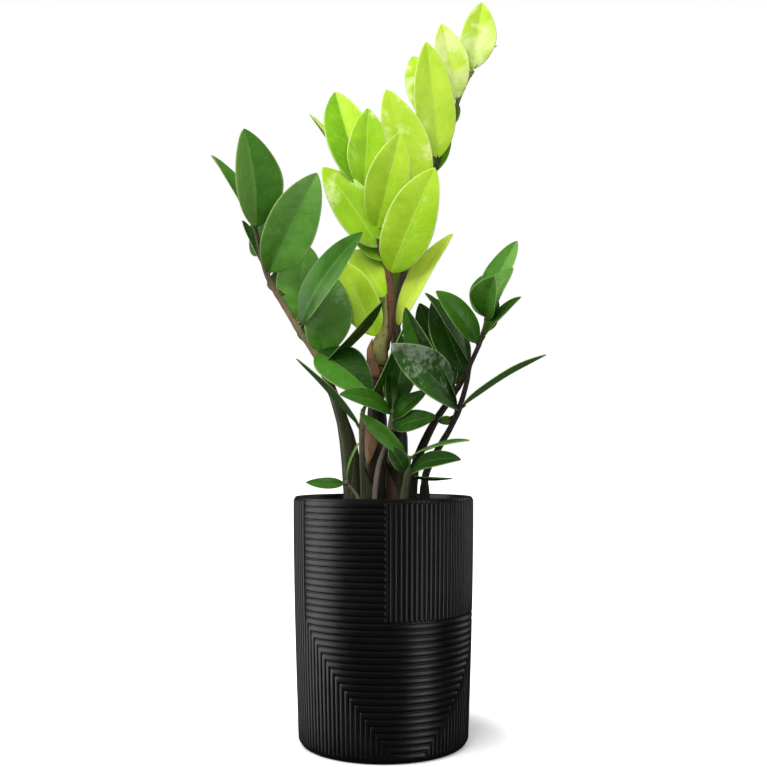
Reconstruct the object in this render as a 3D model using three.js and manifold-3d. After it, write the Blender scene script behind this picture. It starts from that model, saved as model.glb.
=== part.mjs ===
// A potted ZZ plant (Zamioculcas zamiifolia): a ribbed cylindrical planter, potting soil, the
// tuber-like rhizome inside it, three tall fronds, two smaller ones and four young shoots.
// Millimetres, +Z up, the planter's axis on Z and its foot on z = 0, the front towards -Y.
import * as THREE from 'three';
import { mergeVertices } from 'three/addons/utils/BufferGeometryUtils.js';
import Module from 'manifold-3d';

const wasm = await Module();
wasm.setup();

// ---------------------------------------------------------------- driving dimensions
const clearance = 0.3; // gap between pieces that touch

const planter = {
  height: 169.5,
  rimRadius: 63.5, // over the ribs, a 127 mm (5 inch) planter
  middleRadius: 62.2, // over the ribs, where the upper blocks of ribs meet the lower ones
  footRadius: 58.7, // over the ribs
  wall: 5.5,
  floor: 8,
  footRounding: 4,
  lipRounding: 1.5,
};

const ribs = {
  relief: 0.75, // how far a rib stands out
  around: 108, // pitches of the upright ribs in a full turn
  bottom: 3, // height where the lowest rib starts
  lowerRows: 20,
  upperRows: 18,
  top: 168, // height where the highest rib ends
  patternStart: -58.333, // degrees from the front, where the level ribs begin on the left
  levelColumns: 18, // width of the upper block of level ribs, in upright pitches
  chevronColumns: 45, // width of the lower block, where each level rib turns down at both ends
  repeatColumns: 54, // the pattern comes twice round the planter
  facetColumns: 3, // pitches in each flat facet of the round wall
  sink: 0.5, // how deep the edge of a block of ribs reaches into the wall
  valley: 0.04, // height of the groove between two ribs
};

const soil = {
  top: 157,
  crown: 3, // the middle stands this much higher than the edge
  lump: 1.3,
};

const rhizome = {
  centre: [0, -4, 118],
  radii: [41, 33, 20],
  lump: 0.08, // share of the radius
};

const blade = {
  thickness: 0.9,
  neckThickness: 2.4,
  neckHalfWidth: 1.3,
  petiole: 1.5, // bare stalk between the stem's skin and the blade
};

// Each frond: colour, sides of its stem, the stem's points [x, y, z, radius], and its leaflets
// [height of the foot, tip x, tip y, tip z, width, turn, arch, fold, twist]. turn is the angle of
// the blade about its own length in degrees, 0 with its upper face to the front and positive
// towards +X; arch and fold are shares of the length and of the half width; twist, where there is
// any, is how much more of a turn the blade has at its foot than at its tip.
const fronds = {
  frond_left: {
    colour: 0x3f7a2a,
    sides: 6,
    stem: [
      [-21, 4, 118, 7], [-22, 3, 169, 6.8], [-25, 0, 205, 6.2], [-29, -2, 222, 4.6], [-35, -4, 240, 3.6],
      [-49, -7, 272, 2.8], [-58, -8, 284, 2.4], [-71, -10, 305, 2.1], [-81, -11, 322, 1.8],
      [-87, -12, 340, 1.6], [-91, -12, 359, 1.3],
    ],
    leaflets: [
      [355, -126, 4, 417, 22, 60, 0.03, 0.5],
      [357, -98, -26, 427, 39, 37, 0.04, 0.4],
      [325, -46, -34, 393, 36, 12, 0.05, 0.3],
      [329, -104, 14, 371, 13, 55, 0, 0.5],
      [290, -58, 16, 354, 35, 0, 0.03, 0.15],
      [287, -14, -44, 349, 27, -46, 0.08, 0.3, -30],
      [265, -34.5, -16, 325, 33, 10, 0.04, 0.25],
      [261, -1, -48, 301, 20, 78, 0.03, 0.15],
      [272, -8, -32, 240, 32, -20, 0.08, 0.2],
      [340, -98, 42, 386, 26, 160, 0.04, 0.2],
      [312, -62, 46, 352, 28, 175, 0.04, 0.2],
      [276, -44, 44, 316, 30, 180, 0.04, 0.2],
    ],
  },
  frond_centre: {
    colour: 0x8fc31f,
    sides: 6,
    stem: [
      [-7, -3, 118, 6.6], [-7, -3, 169, 6.6], [-6, -3, 209, 6.2], [-5, -2, 238, 5.6], [-3, -1, 259, 6.8],
      [-2.5, -1, 274, 6.4], [2, 0, 286, 4.8], [4.3, -1, 300, 3.3], [5, -2, 316, 2.5], [3, -4, 330, 2.2],
      [-2, -6, 345, 1.9], [-8, -10, 363, 1.6], [-12, -13, 377, 1.4], [-15, -14, 386, 1.2],
    ],
    leaflets: [
      [384, -55, 12, 451, 14, 65, 0, 0.6],
      [385, -35, -8, 460, 34, 0, 0.05, 0.3, 40],
      [385, -29, 18, 452, 26, -10, 0.03, 0.15],
      [371, -30, 30, 428, 24, 150, 0.03, 0.15],
      [384, -11, -22, 443, 28, 0, 0.05, 0.2],
      [357, 11, -34, 421, 31, 6, 0.05, 0.2],
      [326, 35, -46, 393, 37.5, -10, 0.05, 0.15],
      [344, -43, -20, 401, 31, 10, 0.04, 0.2],
      [334, -23, 10, 394, 30, 0, 0, 0.15],
      [309, -22, 16, 349, 30, -8, 0.03, 0.15],
      [277, -29, -6, 336, 28, -14, 0.03, 0.2],
      [350, -32, 42, 408, 28, 175, 0.04, 0.2],
    ],
  },
  frond_tall: {
    colour: 0xb4dc2c,
    sides: 6,
    stem: [
      [9, 11, 118, 6.6], [8, 11, 169, 6.6], [10, 12, 209, 5.8], [10, 13, 238, 4.6], [9, 14, 280, 3.5],
      [10.6, 15, 312, 2.9], [14, 15, 329, 2.6], [18, 16, 342, 2.3], [25, 18, 370, 2.1],
      [40, 21, 415, 1.7], [49, 23, 441, 1.5], [56, 25, 464, 1.3], [67, 27, 489, 1.1],
    ],
    leaflets: [
      [488, 74, 16, 538, 27, 0, 0.04, 0.2],
      [486, 87, 34, 512, 11, -60, 0.1, 0.2],
      [464, 43, 8, 518, 27, 6, 0.04, 0.2],
      [417, 31, -4, 499, 31, 6, 0.03, 0.2],
      [440, 22, 30, 502, 33, 0, 0.03, 0.2],
      [384, 2, 0, 465, 34, 0, 0.03, 0.2],
      [443, 57, 40, 469, 9, 0, 0.03, 0.2],
      [407, 51, 42, 446, 12, 0, 0.03, 0.2],
      [378, 10, 60, 428, 30, 180, 0.04, 0.2],
      [368, 30, 50, 420, 28, 178, 0.04, 0.2],
      [300, -8, 52, 345, 30, 180, 0.04, 0.2],
      [289, 49, -18, 354, 19, -35, 0.08, 0.2],
      [318, 20, 48, 366, 28, 180, 0.04, 0.2],
    ],
  },
  frond_right_back: {
    colour: 0x2c5f26,
    sides: 6,
    stem: [
      [21, 8, 118, 4.6], [21, 8, 169, 4.4], [22, 8, 188, 4], [24, 9, 207, 3.6], [31, 10, 216, 3.1],
      [38, 11, 225, 2.7], [47, 12, 237, 2.3], [57, 13, 252, 1.9], [64, 14, 266, 1.4],
    ],
    leaflets: [
      [264, 29, -16, 312, 24, 62, 0.04, 0.2],
      [256, 37, 20, 314, 28, 10, 0.03, 0.2],
      [242, 27, 30, 312, 26, 0, 0.03, 0.2],
      [248, 46, 52, 300, 28, 175, 0.04, 0.2],
    ],
  },
  frond_right: {
    colour: 0x35702b,
    sides: 6,
    stem: [
      [29, -2, 118, 3], [29, -2, 170, 2.8], [30, -3, 185, 2.6], [40, -4, 205, 2.3], [47, -5, 217, 2.1],
      [53, -6, 230, 2], [59, -7, 250, 1.8], [61, -7, 261, 1.7], [65, -8, 268, 1.7], [71, -8, 276, 1.6],
      [72, -9, 287, 1.3], [74, -9, 299, 1.1],
    ],
    leaflets: [
      [297, 97, 4, 353.5, 23, -42, 0.06, 0.25],
      [294, 91, -20, 329, 23, -55, 0.03, 0.45],
      [294, 76, -38, 320, 24, -45, 0.04, 0.46],
      [294, 72, 10, 329, 21, -20, 0.02, 0.2],
      [276, 36, -30, 311, 22, 30, 0.08, 0.2],
      [279, 94, -36, 306, 13, -60, 0.06, 0.2],
      [284, 83, 8, 312, 14, 40, 0.02, 0.2],
      [230, 15, -36, 299, 28, -30, 0.06, 0.2],
      [229, 5, -60, 271, 34, 31, 0.08, 0.3, 65],
      [231, 115, -10, 269, 17, -104, 0.03, 0.2],
      [226, 39, 0, 222, 9, -40, 0.04, 0.2],
    ],
  },
  shoot_front: {
    colour: 0x3c7d2c,
    sides: 6,
    stem: [[-14, -21, 118, 2.2], [-14, -21, 169, 2.1], [-15, -20, 204, 2], [-15, -20, 220, 1.9], [-14, -19, 231, 1.4]],
    leaflets: [
      [216, -58, -52, 262, 15, 108, 0.01, 0.25],
      [229, 13, -42, 283, 14, 70, 0.03, 0.2],
    ],
  },
  shoot_middle: {
    colour: 0x2f6a25,
    sides: 6,
    stem: [[-6, -24, 118, 2], [-6, -24, 170, 1.9], [-3, -23, 192, 1.8], [2, -21, 206, 1.7], [6, -19, 228, 1.3]],
    leaflets: [
      [216, 36, -28, 225, 16, -30, 0.06, 0.2],
      [227, -29, -56, 238, 17, 40, 0.09, 0.2],
      [221, 30, -20, 243, 15, -40, 0.06, 0.2],
      [227, 4, -12, 258, 13, 40, 0.02, 0.2],
      [227, 19, -6, 286, 24, 0, 0.02, 0.2],
    ],
  },
  shoot_right: {
    colour: 0x2f6b2b,
    sides: 6,
    stem: [[13, -28, 118, 3.4], [14, -27, 169, 3.2], [16, -27, 183, 2.6], [17, -26, 198, 1.6]],
    leaflets: [
      [196, -16, -42, 226, 14, 10, 0.04, 0.2],
      [196, 58, -38, 208, 14, -82, 0.05, 0.2],
      [184, 4, -33, 204, 13, 20, 0.06, 0.2],
      [183, 51, -52, 195, 19, -58, 0.14, 0.15],
      [184, 48, -12, 182, 12, 80, 0, 0.2],
    ],
  },
  shoot_left: {
    colour: 0x4f8f3a,
    sides: 6,
    stem: [[-15, -26, 118, 1.6], [-16, -26, 160, 1.5], [-18, -26, 170, 1.4], [-26, -28, 180, 1]],
    leaflets: [
      [179, -52, -42, 180, 8, 10, 0.05, 0.2],
      [179, -16, -38, 207, 9, -65, 0.05, 0.2],
    ],
  },
};

const colours = { planter: 0x17181a, soil: 0x2a2018, rhizome: 0xb79a6a };

// ---------------------------------------------------------------- solids and meshes
// A closed three.js geometry as a manifold solid: only positions kept, shared corners merged,
// flat triangles dropped, and turned right side out where it was built inside out.
function solid(geometry) {
  const bare = new THREE.BufferGeometry();
  bare.setAttribute('position', geometry.getAttribute('position'));
  bare.setIndex(geometry.getIndex());
  const merged = mergeVertices(bare, 1e-4);
  const index = merged.getIndex().array;
  const corners = [];
  for (let i = 0; i < index.length; i += 3) {
    const [a, b, c] = [index[i], index[i + 1], index[i + 2]];
    if (a !== b && b !== c && c !== a) corners.push(a, b, c);
  }
  const closed = (triangles) => new wasm.Manifold(new wasm.Mesh({
    numProp: 3,
    vertProperties: new Float32Array(merged.getAttribute('position').array),
    triVerts: new Uint32Array(triangles),
  }));
  const body = closed(corners);
  return body.volume() > 0 ? body : closed(corners.reverse());
}

function joined(solids) {
  return solids.reduce((whole, piece) => whole.add(piece));
}

function mesh(name, body, colour, roughness) {
  const result = body.getMesh();
  const geometry = new THREE.BufferGeometry();
  geometry.setAttribute('position', new THREE.BufferAttribute(result.vertProperties, 3));
  geometry.setIndex(new THREE.BufferAttribute(result.triVerts, 1));
  const material = new THREE.MeshStandardMaterial({ color: colour, roughness, metalness: 0 });
  const piece = new THREE.Mesh(geometry, material);
  piece.name = name;
  return piece;
}

function faceted(points, faces) {
  const geometry = new THREE.BufferGeometry();
  geometry.setAttribute('position', new THREE.Float32BufferAttribute(points.flatMap((p) => [p.x, p.y, p.z]), 3));
  geometry.setIndex(faces);
  return solid(geometry);
}

// A closed skin over rings of equal length, with a flat cap on the first and the last ring.
function loft(rings) {
  const sides = rings[0].length;
  const faces = [];
  for (let r = 0; r + 1 < rings.length; r += 1) {
    for (let s = 0; s < sides; s += 1) {
      const a = r * sides + s;
      const b = r * sides + ((s + 1) % sides);
      faces.push(a, b, b + sides, a, b + sides, a + sides);
    }
  }
  const last = (rings.length - 1) * sides;
  for (let s = 1; s + 1 < sides; s += 1) {
    faces.push(0, s + 1, s, last, last + s, last + s + 1);
  }
  return faceted(rings.flat(), faces);
}

// A closed sheet between two grids of points of the same size.
function sheet(outer, inner) {
  const lines = outer.length;
  const stops = outer[0].length;
  const depth = lines * stops;
  const faces = [];
  const quad = (a, b, c, d) => faces.push(a, b, c, a, c, d);
  for (let l = 0; l + 1 < lines; l += 1) {
    for (let s = 0; s + 1 < stops; s += 1) {
      const a = l * stops + s;
      const [b, c, d] = [a + 1, a + stops + 1, a + stops];
      quad(a, b, c, d);
      quad(a + depth, d + depth, c + depth, b + depth);
    }
  }
  const border = [
    ...Array.from({ length: stops - 1 }, (_, s) => s),
    ...Array.from({ length: lines - 1 }, (_, l) => l * stops + stops - 1),
    ...Array.from({ length: stops - 1 }, (_, s) => depth - 1 - s),
    ...Array.from({ length: lines - 1 }, (_, l) => depth - (l + 1) * stops),
  ];
  border.forEach((a, place) => {
    const b = border[(place + 1) % border.length];
    quad(a, a + depth, b + depth, b);
  });
  return faceted([...outer.flat(), ...inner.flat()], faces);
}

function turned(profile, segments, start = 0) {
  const points = profile.map(([radius, height]) => new THREE.Vector2(radius, height));
  return new THREE.LatheGeometry(points, segments, start).rotateX(Math.PI / 2);
}

// ---------------------------------------------------------------- planter
const columnAngle = 360 / ribs.around;
const rowHeight = (ribs.top - ribs.bottom) / (ribs.lowerRows + ribs.upperRows);
const halfHeight = ribs.bottom + ribs.lowerRows * rowHeight;

function wallRadius(height) {
  const { footRadius, middleRadius, rimRadius } = planter;
  const outer = height < halfHeight
    ? THREE.MathUtils.mapLinear(height, 0, halfHeight, footRadius, middleRadius)
    : THREE.MathUtils.mapLinear(height, halfHeight, planter.height, middleRadius, rimRadius);
  return outer - ribs.relief;
}

function innerRadius(height) {
  return wallRadius(height) - planter.wall;
}

// A point on the planter's side: degrees from the front, height, distance out of the wall.
function onWall(degrees, height, out) {
  const angle = THREE.MathUtils.degToRad(degrees);
  const radius = wallRadius(height) + out;
  return new THREE.Vector3(radius * Math.sin(angle), -radius * Math.cos(angle), height);
}

// A block of ribs, as a sheet sunk into the wall. place(q) gives the path [degrees, height] of the
// line that lies q pitches from the block's first edge: a groove at each whole pitch, a ridge half
// way between two grooves, and the outermost lines drawn down into the wall.
function ribBlock(count, place) {
  const spread = (ribs.valley + ribs.sink) / (ribs.relief - ribs.valley) / 2;
  const rows = [{ q: -spread, out: -ribs.sink }];
  for (let rib = 0; rib < count; rib += 1) {
    rows.push({ q: rib + 0.5, out: ribs.relief });
    rows.push(rib + 1 < count ? { q: rib + 1, out: ribs.valley } : { q: count + spread, out: -ribs.sink });
  }
  const lines = rows.map(({ q, out }) => place(q).map(([degrees, height]) => onWall(degrees, height, out)));
  const under = rows.map(({ q }) => place(q).map(([degrees, height]) => onWall(degrees, height, -2 * ribs.sink)));
  return sheet(lines, under);
}

const columnAt = (column) => ribs.patternStart + column * columnAngle;

// Upright ribs from one column to another.
function uprightBlock(from, to, low, high) {
  const heights = low < halfHeight ? [low, halfHeight, high] : [low, high];
  return ribBlock(to - from, (q) => heights.map((height) => [columnAt(from + q), height]));
}

// Level ribs, with a stop at each facet of the round wall.
function levelBlock() {
  const facets = ribs.levelColumns / ribs.facetColumns;
  return ribBlock(ribs.upperRows, (q) => {
    const height = halfHeight + q * rowHeight;
    return Array.from({ length: facets + 1 }, (_, f) => [columnAt(ribs.facetColumns * f), height]);
  });
}

// Level ribs that turn down at both ends, each a row lower and a column shorter at either end
// than the one above.
function chevronBlock() {
  const facets = ribs.chevronColumns / ribs.facetColumns;
  return ribBlock(ribs.lowerRows, (q) => {
    const height = Math.max(ribs.bottom, halfHeight - q * rowHeight);
    const left = q;
    const right = ribs.chevronColumns - q;
    const level = Array.from({ length: facets + 1 }, (_, f) => ribs.facetColumns * f);
    return [
      [columnAt(left), ribs.bottom],
      ...level.map((column) => [columnAt(THREE.MathUtils.clamp(column, left, right)), height]),
      [columnAt(right), ribs.bottom],
    ];
  });
}

function ribPattern() {
  return joined([
    levelBlock(),
    chevronBlock(),
    uprightBlock(ribs.levelColumns, ribs.chevronColumns, halfHeight, ribs.top),
    uprightBlock(ribs.chevronColumns, ribs.repeatColumns, ribs.bottom, ribs.top),
  ]);
}

function buildPlanter() {
  const { height, floor, footRounding, lipRounding, wall } = planter;
  const diagonal = 1 - Math.SQRT1_2;
  const footWall = wallRadius(footRounding);
  const lipWall = wallRadius(height - lipRounding);
  const profile = [
    [0, 0],
    [footWall - footRounding, 0],
    [footWall - footRounding * diagonal, footRounding * diagonal],
    [footWall, footRounding],
    [wallRadius(halfHeight), halfHeight],
    [lipWall, height - lipRounding],
    [lipWall - lipRounding * diagonal, height - lipRounding * diagonal],
    [lipWall - lipRounding, height],
    [lipWall - wall + lipRounding, height],
    [lipWall - wall + lipRounding * diagonal, height - lipRounding * diagonal],
    [lipWall - wall, height - lipRounding],
    [innerRadius(halfHeight), halfHeight],
    [innerRadius(floor), floor],
    [0, floor],
  ];
  const facets = ribs.around / ribs.facetColumns;
  const start = THREE.MathUtils.degToRad(ribs.patternStart);
  const body = solid(turned(profile, facets, start));
  const pattern = ribPattern();
  return body.add(pattern).add(pattern.rotate([0, 0, 180]));
}

// ---------------------------------------------------------------- stems and leaflets
function stemSolid(points, sides, extra = 0) {
  const curve = new THREE.CatmullRomCurve3(points.map(([x, y, z]) => new THREE.Vector3(x, y, z)));
  const rings = points.map(([, , , radius], place) => {
    const centre = curve.getPoint(place / (points.length - 1));
    const along = curve.getTangent(place / (points.length - 1));
    const back = new THREE.Vector3(0, 1, 0).addScaledVector(along, -along.y).normalize();
    const side = new THREE.Vector3().crossVectors(along, back);
    return Array.from({ length: sides }, (_, s) => {
      const angle = (2 * Math.PI * s) / sides;
      return centre.clone()
        .addScaledVector(back, (radius + extra) * Math.cos(angle))
        .addScaledVector(side, (radius + extra) * Math.sin(angle));
    });
  });
  return loft(rings);
}

// The point of the stem's centre line at a height, and the stem's radius there.
function stemAt(points, height) {
  const curve = new THREE.CatmullRomCurve3(points.map(([x, y, z]) => new THREE.Vector3(x, y, z)));
  let low = 0;
  let high = 1;
  for (let halving = 0; halving < 30; halving += 1) {
    const middle = (low + high) / 2;
    if (curve.getPoint(middle).z < height) low = middle;
    else high = middle;
  }
  const place = Math.min(Math.floor(low * (points.length - 1)), points.length - 2);
  const radius = Math.max(points[place][3], points[place + 1][3]);
  return { centre: curve.getPoint(low), radius };
}

// Half the blade's width as a share of its greatest, from its foot (0) to its tip (1).
function outline(s) {
  const [rise, fall] = [0.68, 0.88];
  const widest = rise / (rise + fall);
  return (s / widest) ** rise * ((1 - s) / (1 - widest)) ** fall;
}

// A leaflet: a thin blade, folded along its midrib and arched from foot to tip.
const bladeStops = [0.07, 0.21, 0.4, 0.61, 0.83];

function leaflet(stem, [footHeight, tipX, tipY, tipZ, width, turn, arch, fold, twist = 0]) {
  const { centre: foot, radius } = stemAt(stem, footHeight);
  const along = new THREE.Vector3(tipX, tipY, tipZ).sub(foot);
  const length = along.length();
  along.normalize();
  const face = new THREE.Vector3(0, -1, 0).addScaledVector(along, along.y).normalize();
  face.applyAxisAngle(along, THREE.MathUtils.degToRad(turn));
  const side = new THREE.Vector3().crossVectors(face, along);
  const start = (radius + blade.petiole) / length;
  const stops = [0, start, ...bladeStops.map((s) => start + s * (1 - start))];

  const rings = stops.map((u) => {
    const s = Math.max(0, (u - start) / (1 - start));
    const half = Math.max(blade.neckHalfWidth, (width / 2) * outline(s));
    const thick = THREE.MathUtils.lerp(blade.neckThickness, blade.thickness, Math.min(1, s / 0.3));
    const middle = foot.clone()
      .addScaledVector(along, u * length)
      .addScaledVector(face, arch * length * 4 * u * (1 - u));
    const roll = THREE.MathUtils.degToRad(twist * (0.5 - s));
    const out = side.clone().applyAxisAngle(along, roll);
    const above = face.clone().applyAxisAngle(along, roll);
    const at = (across, up) => middle.clone()
      .addScaledVector(out, across * half)
      .addScaledVector(above, Math.abs(across) * half * fold + up * thick);
    return [at(-1, 0.5), at(0, 0.5), at(1, 0.5), at(1, -0.5), at(0, -0.5), at(-1, -0.5)];
  });
  const tip = foot.clone().addScaledVector(along, length);
  const end = (across, up) => tip.clone()
    .addScaledVector(side, across * 0.35)
    .addScaledVector(face, up * blade.thickness);
  rings.push([end(-1, 0.5), end(0, 0.5), end(1, 0.5), end(1, -0.5), end(0, -0.5), end(-1, -0.5)]);
  return loft(rings);
}

// ---------------------------------------------------------------- rhizome and soil
// Rounded swellings of the tuber, as a share of its radius.
function swelling(x, y, z) {
  return Math.sin(3.1 * x + 0.7) * Math.cos(2.7 * y - 0.4) + 0.5 * Math.sin(5.3 * x * y + 2.2 * z);
}

function rhizomeSolid(extra = 0) {
  const geometry = new THREE.SphereGeometry(1, 16, 9);
  const position = geometry.getAttribute('position');
  const [rx, ry, rz] = rhizome.radii;
  const [cx, cy, cz] = rhizome.centre;
  for (let i = 0; i < position.count; i += 1) {
    const [x, y, z] = [position.getX(i), position.getY(i), position.getZ(i)];
    const grow = 1 + rhizome.lump * swelling(x, y, z);
    const radial = 1 + extra / Math.min(rx, ry, rz);
    position.setXYZ(i, cx + rx * x * grow * radial, cy + ry * y * grow * radial, cz + rz * z * grow * radial);
  }
  return solid(geometry);
}

function soilBump(x, y) {
  const wave = Math.sin(0.31 * x + 1.3) * Math.cos(0.27 * y - 0.6) + 0.6 * Math.sin(0.19 * x - 0.41 * y);
  return soil.lump * wave;
}

function buildSoil(rooms) {
  const low = planter.floor + clearance;
  const facets = ribs.around / ribs.facetColumns;
  const inset = clearance + 0.15;
  const edge = innerRadius(soil.top) - inset;
  const profile = [
    [0, low], [innerRadius(low) - inset, low], [innerRadius(halfHeight) - inset, halfHeight],
    [edge, soil.top - 0.6],
  ];
  const rings = 3;
  for (let ring = rings - 1; ring >= 0; ring -= 1) {
    profile.push([(edge * ring) / rings, soil.top]);
  }
  const start = THREE.MathUtils.degToRad(ribs.patternStart);
  const geometry = turned(profile, facets, start);
  const position = geometry.getAttribute('position');
  for (let i = 0; i < position.count; i += 1) {
    const [x, y, z] = [position.getX(i), position.getY(i), position.getZ(i)];
    if (z < soil.top - 0.1) continue;
    const inward = 1 - Math.hypot(x, y) / edge;
    position.setZ(i, soil.top + soil.crown * inward + soilBump(x, y));
  }
  return rooms.reduce((whole, room) => whole.subtract(room), solid(geometry));
}

// ---------------------------------------------------------------- the whole plant
const plant = new THREE.Group();
plant.add(mesh('planter', buildPlanter(), colours.planter, 0.5));

const tuber = rhizomeSolid();
const tuberRoom = rhizomeSolid(clearance);
const stemRooms = [];
for (const [name, { colour, sides, stem, leaflets }] of Object.entries(fronds)) {
  const parts = [stemSolid(stem, sides), ...leaflets.map((row) => leaflet(stem, row))];
  plant.add(mesh(name, joined(parts).subtract(tuberRoom), colour, 0.35));
  stemRooms.push(stemSolid(stem, sides, clearance));
}
plant.add(mesh('soil', buildSoil([tuberRoom, ...stemRooms]), colours.soil, 0.95));
plant.add(mesh('rhizome', tuber, colours.rhizome, 0.8));

export default plant;
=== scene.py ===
# A potted ZZ plant: a ribbed black planter, potting soil with bark and perlite, and nine leafy
# fronds and shoots. It runs in Blender 4.5 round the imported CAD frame; the front is towards -Y.
# Sizes in the dictionaries are in mm and angles in degrees. The studio's sizes, but for its lens and
# sensor, and the relief of every bump are in metres.
import math
import random

import bmesh
import bpy
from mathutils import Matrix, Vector, noise


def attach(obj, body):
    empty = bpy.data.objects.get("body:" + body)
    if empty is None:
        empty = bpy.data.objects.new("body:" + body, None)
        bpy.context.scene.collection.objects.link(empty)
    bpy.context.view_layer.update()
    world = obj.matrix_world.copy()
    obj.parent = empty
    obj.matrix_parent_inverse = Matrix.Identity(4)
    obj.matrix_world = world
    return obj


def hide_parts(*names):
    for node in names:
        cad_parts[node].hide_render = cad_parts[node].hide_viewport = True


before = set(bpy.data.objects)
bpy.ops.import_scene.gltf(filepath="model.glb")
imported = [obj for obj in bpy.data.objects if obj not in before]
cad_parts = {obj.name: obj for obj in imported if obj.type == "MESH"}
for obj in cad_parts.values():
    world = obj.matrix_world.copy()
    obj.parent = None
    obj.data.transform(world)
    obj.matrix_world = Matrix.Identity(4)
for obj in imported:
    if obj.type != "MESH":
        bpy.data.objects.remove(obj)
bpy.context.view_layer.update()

mm = 0.001


# Makes a finished bmesh an object at the origin.
def finishMesh(bm, name, materials, smooth=True):
    mesh = bpy.data.meshes.new(name)
    for face in bm.faces:
        face.smooth = smooth
    bm.to_mesh(mesh)
    bm.free()
    mesh.update()
    piece = bpy.data.objects.new(name, mesh)
    bpy.context.scene.collection.objects.link(piece)
    for material in materials:
        mesh.materials.append(material)
    return piece


# Hangs a piece under the root, and hides the CAD nodes that it stands for.
def dress(piece, slotName, *nodes):
    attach(piece, "root")
    if nodes:
        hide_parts(*nodes)
    return piece


# A grid of faces whose corners go to placeAt(u, v) in mm, with u and v running from 0 to 1.
def layGrid(bm, across, along, placeAt):
    grid = bmesh.ops.create_grid(bm, x_segments=across, y_segments=along, size=0.5)["verts"]
    spots = {vert: (vert.co.x + 0.5, vert.co.y + 0.5) for vert in grid}
    for vert, (u, v) in spots.items():
        vert.co = placeAt(u, v) * mm
    faces = list({face for vert in grid for face in vert.link_faces})
    return spots, faces


# Turns a grid's faces over where most of them look away from wayAt(centre of the face).
def faceTowards(bm, faces, wayAt):
    for face in faces:
        face.normal_update()
    if sum(f.normal.dot(wayAt(f.calc_center_median())) * f.calc_area() for f in faces) < 0:
        bmesh.ops.reverse_faces(bm, faces=faces)


# A closed tube along stops [(centre, direction, radius)], in mm.
def layTube(bm, stops, sides):
    last = len(stops) - 1

    def skin(u, v):
        centre, along, radius = stops[round(v * last)]
        turn = 2 * math.pi * u
        back = (Vector((0, 1, 0)) - along * along.y).normalized()
        return centre + radius * (math.cos(turn) * back + math.sin(turn) * along.cross(back))

    spots, _ = layGrid(bm, sides, last, skin)
    bmesh.ops.remove_doubles(bm, verts=list(spots), dist=1e-7)
    ends = [edge for edge in bm.edges if edge.is_boundary]
    bmesh.ops.holes_fill(bm, edges=ends, sides=sides)


def newMaterial(name, **sockets):
    material = bpy.data.materials.new(name)
    material.use_nodes = True
    tree = material.node_tree
    shader = tree.nodes["Principled BSDF"]
    for socket, value in sockets.items():
        shader.inputs[socket].default_value = value
    return material, tree, shader


# A new node. An input that is a socket is linked, and any other is set.
def addNode(tree, kind, settings=None, inputs=None):
    node = tree.nodes.new(kind)
    for key, value in (settings or {}).items():
        setattr(node, key, value)
    for key, value in (inputs or {}).items():
        if isinstance(value, bpy.types.NodeSocket):
            tree.links.new(value, node.inputs[key])
        else:
            node.inputs[key].default_value = value
    return node


def mathNode(tree, operation, *values):
    return addNode(tree, "ShaderNodeMath", {"operation": operation}, dict(enumerate(values))).outputs[0]


# The sum of pairs (value, weight).
def weighed(tree, *pairs):
    total = 0.0
    for value, weight in pairs:
        total = mathNode(tree, "MULTIPLY_ADD", value, weight, total)
    return total


def noiseNode(tree, vector, scale, detail=3.0, roughness=0.55, distortion=0.0):
    inputs = {"Vector": vector, "Scale": scale, "Detail": detail}
    inputs.update({"Roughness": roughness, "Distortion": distortion})
    return addNode(tree, "ShaderNodeTexNoise", None, inputs).outputs["Fac"]


# A value between low and high, eased to lie between toLow and toHigh.
def spread(tree, value, low, high, toLow=0.0, toHigh=1.0):
    inputs = {"Value": value, "From Min": low, "From Max": high, "To Min": toLow, "To Max": toHigh}
    return addNode(tree, "ShaderNodeMapRange", {"interpolation_type": "SMOOTHSTEP"}, inputs).outputs["Result"]


# For colours a Mix node's sockets are 0, the amount, and 6 and 7, the two colours.
def mixColour(tree, amount, *colours):
    first, second = (c if isinstance(c, bpy.types.NodeSocket) else (*c, 1.0) for c in colours)
    inputs = {0: amount, 6: first, 7: second}
    return addNode(tree, "ShaderNodeMix", {"data_type": "RGBA"}, inputs).outputs[2]


def rampNode(tree, value, stops):
    node = addNode(tree, "ShaderNodeValToRGB", None, {"Fac": value})
    elements = node.color_ramp.elements
    while len(elements) < len(stops):
        elements.new(0.5)
    for element, (position, colour) in zip(elements, stops):
        element.position = position
        element.color = (*colour, 1.0)
    return node.outputs["Color"]


def paint(tree, shader, colour):
    tree.links.new(colour, shader.inputs["Base Color"])


def bumpNode(tree, shader, height, distance, strength=1.0):
    inputs = {"Height": height, "Distance": distance, "Strength": strength}
    normal = addNode(tree, "ShaderNodeBump", None, inputs).outputs["Normal"]
    tree.links.new(normal, shader.inputs["Normal"])


def objectPlace(tree):
    return addNode(tree, "ShaderNodeTexCoord").outputs["Object"]


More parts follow.
